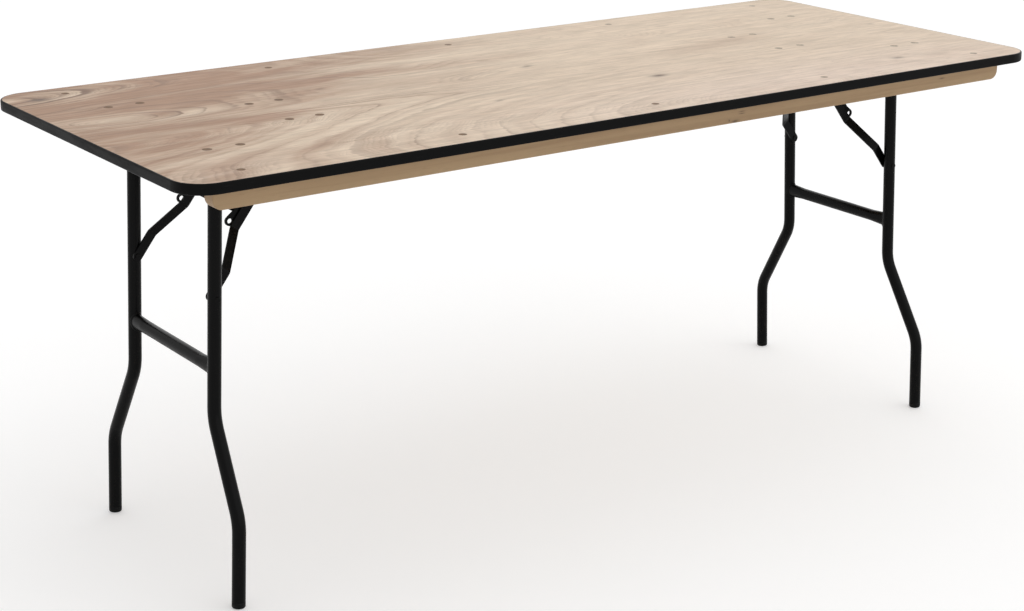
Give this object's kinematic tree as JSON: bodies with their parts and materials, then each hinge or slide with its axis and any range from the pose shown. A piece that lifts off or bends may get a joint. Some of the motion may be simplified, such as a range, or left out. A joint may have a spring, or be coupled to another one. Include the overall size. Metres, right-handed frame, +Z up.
{
  "type": "folding_trestle_table",
  "caption": "Folding trestle table with a rounded plywood top, black edge band, two timber rails and two black wishbone leg frames held open by folding stays",
  "frame": {"origin": "on the floor under the centre of the table", "axes": "+X along the length of the top, +Y across it, +Z up"},
  "size_m": [1.83, 0.75, 0.76],
  "materials": {
    "plywood": "rotary-cut plywood under clear lacquer",
    "rail_timber": "planed softwood",
    "edge_vinyl": "satin black vinyl",
    "black_steel": "satin black powder coat",
    "plated_steel": "dull zinc plate",
    "blackened_screw": "oxidised flat heads",
    "foot_plastic": "black moulded caps"
  },
  "bodies": {
    "top": {"plywood_top": "plywood", "edge_band": "edge_vinyl", "front_rail": "rail_timber", "rear_rail": "rail_timber", "rail_screws": "blackened_screw", "bracket_bolts": "blackened_screw", "bracket_nuts": "plated_steel", "pivot_bolts": "plated_steel", "pivot_nuts": "plated_steel", "stay_pins": "plated_steel", "left_front_pivot_bracket": "black_steel", "left_rear_pivot_bracket": "black_steel", "right_front_pivot_bracket": "black_steel", "right_rear_pivot_bracket": "black_steel", "left_front_stay_bracket": "black_steel", "left_rear_stay_bracket": "black_steel", "right_front_stay_bracket": "black_steel", "right_rear_stay_bracket": "black_steel"},
    "left_leg": {"left_front_leg_tube": "black_steel", "left_rear_leg_tube": "black_steel", "left_front_foot_cap": "foot_plastic", "left_rear_foot_cap": "foot_plastic", "left_stretcher": "black_steel", "left_stay_rivets": "black_steel"},
    "left_yoke": {"left_stay_yoke": "black_steel", "left_yoke_rivets": "black_steel"},
    "left_front_strap": {"left_front_stay_strap": "black_steel", "left_front_strap_rivet": "black_steel"},
    "left_rear_strap": {"left_rear_stay_strap": "black_steel", "left_rear_strap_rivet": "black_steel"},
    "right_leg": {"right_front_leg_tube": "black_steel", "right_rear_leg_tube": "black_steel", "right_front_foot_cap": "foot_plastic", "right_rear_foot_cap": "foot_plastic", "right_stretcher": "black_steel", "right_stay_rivets": "black_steel"},
    "right_yoke": {"right_stay_yoke": "black_steel", "right_yoke_rivets": "black_steel"},
    "right_front_strap": {"right_front_stay_strap": "black_steel", "right_front_strap_rivet": "black_steel"},
    "right_rear_strap": {"right_rear_stay_strap": "black_steel", "right_rear_strap_rivet": "black_steel"}
  },
  "joints": [
    {"name": "left_leg_fold", "type": "hinge", "parent": "top", "child": "left_leg", "pos_m": [-0.755, 0, 0.725], "axis": [0, -1, 0], "range_deg": [0, 92.55]},
    {"name": "left_yoke_turn", "type": "hinge", "parent": "top", "child": "left_yoke", "pos_m": [-0.6, 0, 0.722], "axis": [0, -1, 0], "range_deg": [-50.78, 0]},
    {"name": "left_front_strap_turn", "type": "hinge", "parent": "left_leg", "child": "left_front_strap", "pos_m": [-0.76483, -0.137, 0.50422], "axis": [0, -1, 0], "range_deg": [0, 37.67]},
    {"name": "left_rear_strap_turn", "type": "hinge", "parent": "left_leg", "child": "left_rear_strap", "pos_m": [-0.76483, 0.137, 0.50422], "axis": [0, -1, 0], "range_deg": [0, 37.67]},
    {"name": "right_leg_fold", "type": "hinge", "parent": "top", "child": "right_leg", "pos_m": [0.755, 0, 0.725], "axis": [0, 1, 0], "range_deg": [0, 92.55]},
    {"name": "right_yoke_turn", "type": "hinge", "parent": "top", "child": "right_yoke", "pos_m": [0.6, 0, 0.722], "axis": [0, 1, 0], "range_deg": [-50.78, 0]},
    {"name": "right_front_strap_turn", "type": "hinge", "parent": "right_leg", "child": "right_front_strap", "pos_m": [0.76483, -0.137, 0.50422], "axis": [0, 1, 0], "range_deg": [0, 37.67]},
    {"name": "right_rear_strap_turn", "type": "hinge", "parent": "right_leg", "child": "right_rear_strap", "pos_m": [0.76483, 0.137, 0.50422], "axis": [0, 1, 0], "range_deg": [0, 37.67]}
  ],
  "couplings": [
    {"joint": "left_yoke_turn", "follows": "left_leg_fold", "ratio": -0.54323},
    {"joint": "left_front_strap_turn", "follows": "left_leg_fold", "ratio": 0.40166},
    {"joint": "left_rear_strap_turn", "follows": "left_leg_fold", "ratio": 0.40166},
    {"joint": "right_yoke_turn", "follows": "right_leg_fold", "ratio": -0.54323},
    {"joint": "right_front_strap_turn", "follows": "right_leg_fold", "ratio": 0.40166},
    {"joint": "right_rear_strap_turn", "follows": "right_leg_fold", "ratio": 0.40166}
  ]
}
